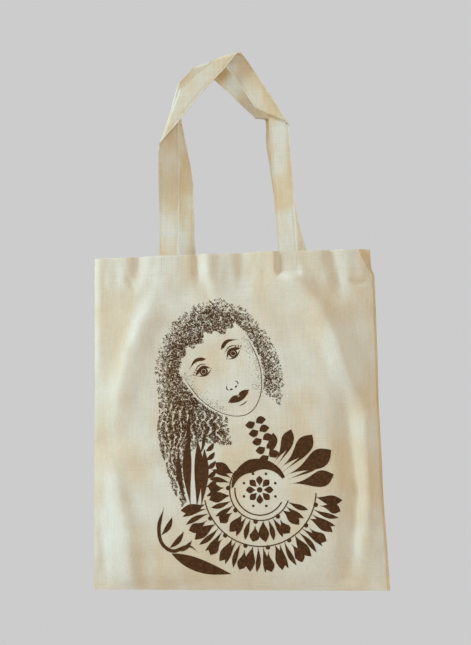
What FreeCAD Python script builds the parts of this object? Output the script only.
"""Flat cotton tote bag: two canvas sides sewn into a pouch, with two looped strap handles.

The frame is the bag standing upright: +X along the mouth, -Y out of the printed front side, +Z up.
The origin is the middle of the bottom seam. Every size comes from the sheet "sizes", in millimetres.
Depths are measured outwards from the bag's middle plane, so the front lies at negative Y.
"""
import FreeCAD, Part
import math
import os
import Sketcher
from FreeCAD import Placement, Rotation, Vector

FRONT = -1
BACK = 1

DIMENSIONS = {
    "bottom_width": 370.0,
    "mouth_width": 355.0,
    "bag_height": 420.0,
    "pouch_depth": 11.0,
    "cloth_thickness": 0.6,
    "seam_allowance": 8.0,
    "pouch_start_height": 70.0,
    "flat_half_width": 105.0,
    "hem_depth": 27.0,
    "hem_end_share": 0.15,
    "overlock_width": 1.5,
    "strap_width": 25.0,
    "strap_thickness": 1.6,
    "strap_end_length": 25.0,
    "strap_rise": 30.0,
    "strap_stitch_inset": 3.0,
    "fold_clearance": 0.3,
    "thread_width": 0.5,
    "thread_height": 0.3,
    "stitch_length": 2.6,
    "stitch_pitch": 3.5,
    "hem_stitch_inset": 3.0,
    "hem_stitch_lift": 0.05,
    "box_stitch_inset": 2.5,
    "front_left_root": -77.8,
    "front_right_root": 72.9,
    "front_left_bend": -79.5,
    "front_left_bend_height": 588.0,
    "front_peak": 4.0,
    "front_peak_height": 679.0,
    "front_right_bend": 67.5,
    "front_right_bend_height": 578.0,
    "back_left_root": -58.7,
    "back_right_root": 84.0,
    "back_left_bend": -73.0,
    "back_left_bend_height": 578.0,
    "back_peak": -12.0,
    "back_peak_height": 674.0,
    "back_right_bend": 59.0,
    "back_right_bend_height": 572.0,
    "bend_radius": 35.0,
    "peak_radius": 20.0,
}

document = FreeCAD.newDocument("tote_bag")
sheet = document.addObject("Spreadsheet::Sheet", "sizes")
for row, (alias, number) in enumerate(DIMENSIONS.items(), start=1):
    sheet.set(f"A{row}", alias)
    sheet.set(f"B{row}", str(number))
    sheet.setAlias(f"B{row}", alias)
document.recompute()

subparts = []


def size(alias):
    """Reads one driving dimension from the sheet."""
    return float(sheet.get(alias))


# ---------------------------------------------------------------- sketch helpers


def new_body(label):
    """Starts a PartDesign body that becomes one sub-part."""
    body = document.addObject("PartDesign::Body", label)
    body.Label = label
    subparts.append(body)
    return body


def polygon_sketch(body, name, plane_role, corners, offset="0"):
    """Draws a closed outline whose corners are pairs of sheet expressions."""
    sketch = body.newObject("Sketcher::SketchObject", name)
    plane = next(item for item in body.Origin.OriginFeatures if item.Role == plane_role)
    sketch.AttachmentSupport = [(plane, "")]
    sketch.MapMode = "FlatFace"
    sketch.setExpression(".AttachmentOffset.Base.z", offset)
    places = [Vector(float(body.evalExpression(x)), float(body.evalExpression(y)), 0) for x, y in corners]
    count = len(corners)
    for index in range(count):
        sketch.addGeometry(Part.LineSegment(places[index], places[(index + 1) % count]))
    for index, (x, y) in enumerate(corners):
        sketch.addConstraint(Sketcher.Constraint("Coincident", index, 2, (index + 1) % count, 1))
        across = sketch.addConstraint(Sketcher.Constraint("DistanceX", -1, 1, index, 1, places[index].x))
        upward = sketch.addConstraint(Sketcher.Constraint("DistanceY", -1, 1, index, 1, places[index].y))
        sketch.setExpression(f"Constraints[{across}]", x)
        sketch.setExpression(f"Constraints[{upward}]", y)
    return sketch


def loft_layer(label, sections):
    """Joins outlines at rising heights with straight-sided cloth. A section is (height, corners)."""
    body = new_body(label)
    sketches = []
    for number, (height, corners) in enumerate(sections):
        sketches.append(polygon_sketch(body, f"{label}_section_{number}", "XY_Plane", corners, height))
    document.recompute()
    loft = body.newObject("PartDesign::AdditiveLoft", f"{label}_loft")
    loft.Profile = sketches[0]
    loft.Sections = sketches[1:]
    loft.Ruled = True
    return body


def pad_upright(label, corners, thickness):
    """Pads an outline drawn in the bag's middle plane, half to the front and half to the back."""
    body = new_body(label)
    sketch = polygon_sketch(body, f"{label}_outline", "XZ_Plane", corners)
    pad = body.newObject("PartDesign::Pad", f"{label}_pad")
    pad.Profile = sketch
    pad.Midplane = True
    pad.setExpression("Length", thickness)
    return body


# ---------------------------------------------------------------- the pouch: sides, hems and seams

MOUTH = "sizes.bag_height"
SEAM_TOP = "sizes.seam_allowance"
SEAM_DEPTH = "2 * sizes.cloth_thickness"


def half_width(height):
    """Half the bag's width at a height: the sides taper evenly towards the mouth."""
    return f"(sizes.bottom_width - (sizes.bottom_width - sizes.mouth_width) * ({height}) / sizes.bag_height) / 2"


def mirrored(corners):
    """Adds the left half of an outline whose right half runs from the middle outwards."""
    return [(f"-({x})", y) for x, y in reversed(corners)] + corners


def layer_outline(side, outer_line, layers_in):
    """Closes a band of cloth between an outer line and the same line one thickness further in."""
    outer = [(x, f"{side} * ({depth} - {layers_in} * sizes.cloth_thickness)") for x, depth in outer_line]
    inner = [(x, f"{side} * ({depth} - {layers_in + 1} * sizes.cloth_thickness)") for x, depth in outer_line]
    return mirrored(outer) + list(reversed(mirrored(inner)))


def panel_section(side, height, depth):
    """One side of the pouch at a height: a flat middle, slanted flanks and flat seam strips."""
    edge = half_width(height)
    line = [
        ("sizes.flat_half_width", f"({depth})"),
        (f"{edge} - sizes.seam_allowance", SEAM_DEPTH),
        (edge, SEAM_DEPTH),
    ]
    return (height, layer_outline(side, line, 0))


def make_panel(label, side):
    """The canvas of one side, closed at the bottom and bowed out by the pouch depth above it."""
    sections = [
        panel_section(side, "0", SEAM_DEPTH),
        panel_section(side, SEAM_TOP, SEAM_DEPTH),
        panel_section(side, "sizes.pouch_start_height", "sizes.pouch_depth"),
        panel_section(side, MOUTH, "sizes.pouch_depth"),
    ]
    return loft_layer(label, sections)


def hem_section(side, height):
    """The hem at a height: it follows the panel's inner face and stops short of the side seams."""
    seam_edge = f"({half_width(height)} - sizes.seam_allowance)"
    end = f"{seam_edge} - sizes.hem_end_share * ({seam_edge} - sizes.flat_half_width)"
    end_depth = f"({SEAM_DEPTH} + sizes.hem_end_share * (sizes.pouch_depth - {SEAM_DEPTH}))"
    line = [("sizes.flat_half_width", "sizes.pouch_depth"), (end, end_depth)]
    return (height, layer_outline(side, line, 1))


def make_hem(label, side):
    """The cloth turned in along the mouth of one side."""
    return loft_layer(label, [hem_section(side, f"{MOUTH} - sizes.hem_depth"), hem_section(side, MOUTH)])


def side_strip(label, side, outer_inset, width, thickness):
    """A strip up one side seam, set in from the bag's edge, from the bottom seam to the mouth."""
    corners = []
    for height in (SEAM_TOP, MOUTH):
        outer = f"{side} * ({half_width(height)} - {outer_inset})"
        inner = f"{side} * ({half_width(height)} - {outer_inset} - {width})"
        corners.append((outer, height))
        corners.append((inner, height))
    lower_outer, lower_inner, upper_outer, upper_inner = corners
    return pad_upright(label, [lower_outer, upper_outer, upper_inner, lower_inner], thickness)


def make_side_seam(label, overlock_label, side):
    """The two raw edges sewn together inside one side, and the overlock thread along them."""
    side_strip(label, side, "0", "sizes.seam_allowance", SEAM_DEPTH)
    side_strip(overlock_label, side, "sizes.seam_allowance", "sizes.overlock_width", SEAM_DEPTH)


def make_bottom_seam():
    """The two raw edges sewn together along the bottom, and the overlock thread above them."""
    lower = half_width("0")
    upper = half_width(SEAM_TOP)
    edges = [(f"-{lower}", "0"), (lower, "0"), (upper, SEAM_TOP), (f"-{upper}", SEAM_TOP)]
    pad_upright("bottom_seam", edges, SEAM_DEPTH)
    reach = f"({upper} - sizes.seam_allowance - 2 * sizes.overlock_width)"
    thread_top = f"{SEAM_TOP} + sizes.overlock_width"
    thread = [(f"-{reach}", SEAM_TOP), (reach, SEAM_TOP), (reach, thread_top), (f"-{reach}", thread_top)]
    pad_upright("bottom_seam_overlock", thread, SEAM_DEPTH)


# ---------------------------------------------------------------- strap handles


def strap_face_depth(side, share):
    """Depth of a strap's faces: share 0 is the face on the hem and share 1 is the face inside the bag."""
    on_hem = size("pouch_depth") - 2 * size("cloth_thickness")
    return side * (on_hem - share * size("strap_thickness"))


def shifted_corner(points, index, shift):
    """Moves one corner of a path sideways by shift, to the left of the way it runs."""
    before = (points[index] - points[index - 1]).normalize() if index > 0 else None
    after = (points[index + 1] - points[index]).normalize() if index < len(points) - 1 else before
    before = before or after
    left_before = Vector(-before.z, 0, before.x)
    left_after = Vector(-after.z, 0, after.x)
    mitre = (left_before + left_after) * (1 / (1 + left_before.dot(left_after)))
    return points[index] + mitre * shift


def rounded_path(points, radii, shift):
    """Straight runs joined by tangent arcs, parallel to a path and to its left by shift."""
    corners = [shifted_corner(points, index, shift) for index in range(len(points))]
    edges = []
    run_start = corners[0]
    for index, radius in enumerate(radii, start=1):
        before = (corners[index] - corners[index - 1]).normalize()
        after = (corners[index + 1] - corners[index]).normalize()
        turn_side = math.copysign(1, before.z * after.x - before.x * after.z)
        turn = before.getAngle(after)
        arc_radius = radius + turn_side * shift
        reach = arc_radius * math.tan(turn / 2)
        arc_start = corners[index] - before * reach
        arc_end = corners[index] + after * reach
        to_centre = (after - before).normalize()
        rise = arc_radius / math.cos(turn / 2) - arc_radius
        arc_middle = corners[index] + to_centre * rise
        edges.append(Part.LineSegment(run_start, arc_start).toShape())
        edges.append(Part.Arc(arc_start, arc_middle, arc_end).toShape())
        run_start = arc_end
    edges.append(Part.LineSegment(run_start, corners[-1]).toShape())
    return edges


def band_solid(points, radii, left_shift, right_shift, face_depth, thickness):
    """A flat band between two parallels of a path, thickened along Y from face_depth."""
    left = rounded_path(points, radii, left_shift)
    right = rounded_path(points, radii, right_shift)
    first_cap = Part.LineSegment(left[0].Vertexes[0].Point, right[0].Vertexes[0].Point).toShape()
    last_cap = Part.LineSegment(left[-1].Vertexes[-1].Point, right[-1].Vertexes[-1].Point).toShape()
    outline = Part.Wire(Part.__sortEdges__(left + [last_cap] + right + [first_cap]))
    face = Part.Face(outline)
    face.translate(Vector(0, face_depth, 0))
    return face.extrude(Vector(0, thickness, 0))


def handle_path(name):
    """The middle line of one handle: up from the hem, over the peak and down again."""
    start = size("bag_height") + size("fold_clearance")
    rise = start + size("strap_rise")
    return [
        Vector(size(f"{name}_left_root"), 0, start),
        Vector(size(f"{name}_left_root"), 0, rise),
        Vector(size(f"{name}_left_bend"), 0, size(f"{name}_left_bend_height")),
        Vector(size(f"{name}_peak"), 0, size(f"{name}_peak_height")),
        Vector(size(f"{name}_right_bend"), 0, size(f"{name}_right_bend_height")),
        Vector(size(f"{name}_right_root"), 0, rise),
        Vector(size(f"{name}_right_root"), 0, start),
    ]


def handle_radii():
    """One radius for each bend of a handle."""
    bend = size("bend_radius")
    return [bend, bend, size("peak_radius"), bend, bend]


def shape_feature(label, shape):
    """Keeps a shape made by Part's own functions as one sub-part."""
    feature = document.addObject("Part::Feature", label)
    feature.Label = label
    feature.Shape = shape
    feature.Placement = Placement()
    subparts.append(feature)
    return feature


def make_handle(name, side):
    """The free loop of one handle and the two rows of thread along its edges."""
    path = handle_path(name)
    radii = handle_radii()
    half = size("strap_width") / 2
    on_hem = strap_face_depth(side, 0)
    strap = band_solid(path, radii, half, -half, on_hem, -side * size("strap_thickness"))
    shape_feature(f"{name}_handle", strap)
    outer_shift = half - size("strap_stitch_inset")
    inner_shift = outer_shift - size("thread_width")
    rows = []
    for mirror in (1, -1):
        rows.append(band_solid(path, radii, mirror * outer_shift, mirror * inner_shift,
                               on_hem, side * size("thread_height")))
    shape_feature(f"{name}_handle_stitching", Part.makeCompound(rows))


def make_strap_end(name, hand, side):
    """The end of a strap that is sewn down inside the hem."""
    end = document.addObject("Part::Box", f"{name}_handle_{hand}_end")
    end.Label = f"{name}_handle_{hand}_end"
    end.setExpression("Length", "sizes.strap_width")
    end.setExpression("Width", "sizes.strap_thickness")
    end.setExpression("Height", "sizes.strap_end_length")
    on_hem = "(sizes.pouch_depth - 2 * sizes.cloth_thickness)"
    near_face = f"-{on_hem}" if side == FRONT else f"{on_hem} - sizes.strap_thickness"
    end.setExpression(".Placement.Base.x", f"sizes.{name}_{hand}_root - sizes.strap_width / 2")
    end.setExpression(".Placement.Base.y", near_face)
    end.setExpression(".Placement.Base.z", "sizes.bag_height - sizes.strap_end_length")
    subparts.append(end)


# ---------------------------------------------------------------- stitching


def stitch_run(start, end, inward):
    """Equal stitches laid on a face from start to end; inward is the way the face looks."""
    along = end - start
    run_length = along.Length
    along.normalize()
    across = inward.cross(along)
    count = max(2, round((run_length - size("stitch_length")) / size("stitch_pitch")) + 1)
    step = (run_length - size("stitch_length")) / (count - 1)
    turn = Rotation(along, across, inward, "ZXY")
    stitches = []
    for number in range(count):
        corner = start + along * (number * step) - across * (size("thread_width") / 2)
        stitch = Part.makeBox(size("stitch_length"), size("thread_width"), size("thread_height"))
        stitch.Placement = Placement(corner, turn)
        stitches.append(stitch)
    return stitches


def make_hem_stitching(name, side):
    """The row that holds one hem down, broken where the strap ends cover it."""
    level = size("bag_height") - size("hem_depth") + size("hem_stitch_inset")
    taper = (size("bottom_width") - size("mouth_width")) / size("bag_height")
    seam_edge = (size("bottom_width") - taper * level) / 2 - size("seam_allowance")
    flat = size("flat_half_width")
    share = size("hem_end_share")
    hem_end = seam_edge - share * (seam_edge - flat)
    seam_depth = 2 * size("cloth_thickness")
    layers = 2 * size("cloth_thickness") + size("hem_stitch_lift")
    hem_face = size("pouch_depth") - layers
    end_face = seam_depth + share * (size("pouch_depth") - seam_depth) - layers
    clear = size("strap_width") / 2 + size("thread_width")
    left_strap = size(f"{name}_left_root")
    right_strap = size(f"{name}_right_root")
    margin = size("thread_width")
    stitches = []
    inward = Vector(0, -side, 0)
    flat_spans = [
        (-flat, left_strap - clear),
        (left_strap + clear, right_strap - clear),
        (right_strap + clear, flat),
    ]
    for first, last in flat_spans:
        if last - first > 2 * size("stitch_pitch"):
            stitches += stitch_run(Vector(first, side * hem_face, level), Vector(last, side * hem_face, level), inward)
    for mirror in (-1, 1):
        corner = Vector(mirror * (flat + margin), side * hem_face, level)
        end = Vector(mirror * (hem_end - margin), side * end_face, level)
        corner_depth = hem_face - margin * (hem_face - end_face) / (hem_end - flat)
        corner.y = side * corner_depth
        slant = (end - corner).normalize()
        face_way = Vector(-slant.y, slant.x, 0)
        if face_way.y * side > 0:
            face_way = -face_way
        stitches += stitch_run(corner, end, face_way)
    shape_feature(f"{name}_hem_stitching", Part.makeCompound(stitches))


def make_box_stitching(name, side):
    """A square with a cross through it on each sewn-down strap end."""
    depth = strap_face_depth(side, 1)
    inset = size("box_stitch_inset")
    half = size("strap_width") / 2 - inset
    low = size("bag_height") - size("strap_end_length") + inset
    high = size("bag_height") - inset
    gap = 2 * size("thread_width")
    inward = Vector(0, -side, 0)
    stitches = []
    for hand in ("left", "right"):
        middle = size(f"{name}_{hand}_root")
        left = middle - half
        right = middle + half
        runs = [
            ((left, low), (right, low)),
            ((left, high), (right, high)),
            ((left, low + gap), (left, high - gap)),
            ((right, low + gap), (right, high - gap)),
            ((left + 2 * gap, low + 2 * gap), (right - 2 * gap, high - 2 * gap)),
        ]
        for (x0, z0), (x1, z1) in runs:
            stitches += stitch_run(Vector(x0, depth, z0), Vector(x1, depth, z1), inward)
    shape_feature(f"{name}_handle_box_stitching", Part.makeCompound(stitches))


# ---------------------------------------------------------------- assembly

for name, side in (("front", FRONT), ("back", BACK)):
    make_panel(f"{name}_panel", side)
    make_hem(f"{name}_hem", side)
    make_handle(name, side)
    for hand in ("left", "right"):
        make_strap_end(name, hand, side)
    make_hem_stitching(name, side)
    make_box_stitching(name, side)
make_side_seam("left_side_seam", "left_seam_overlock", -1)
make_side_seam("right_side_seam", "right_seam_overlock", 1)
make_bottom_seam()

document.recompute()

for item in document.Objects:
    if "Invalid" in item.State or "Error" in item.State:
        raise RuntimeError(f"{item.Label} did not compute: {item.State}")
for part in subparts:
    if part.Shape.isNull() or not part.Shape.isValid():
        raise RuntimeError(f"{part.Label} has no valid shape")
    if not part.Shape.Solids:
        raise RuntimeError(f"{part.Label} is not solid")

os.makedirs("parts", exist_ok=True)
for part in subparts:
    part.Shape.exportStep(os.path.join("parts", f"{part.Label}.step"))
    box = part.Shape.BoundBox
    print(f"{part.Label}: {part.Shape.Volume:.1f} mm3, {len(part.Shape.Solids)} solids, "
          f"x {box.XMin:.2f}..{box.XMax:.2f}, y {box.YMin:.2f}..{box.YMax:.2f}, z {box.ZMin:.2f}..{box.ZMax:.2f}")
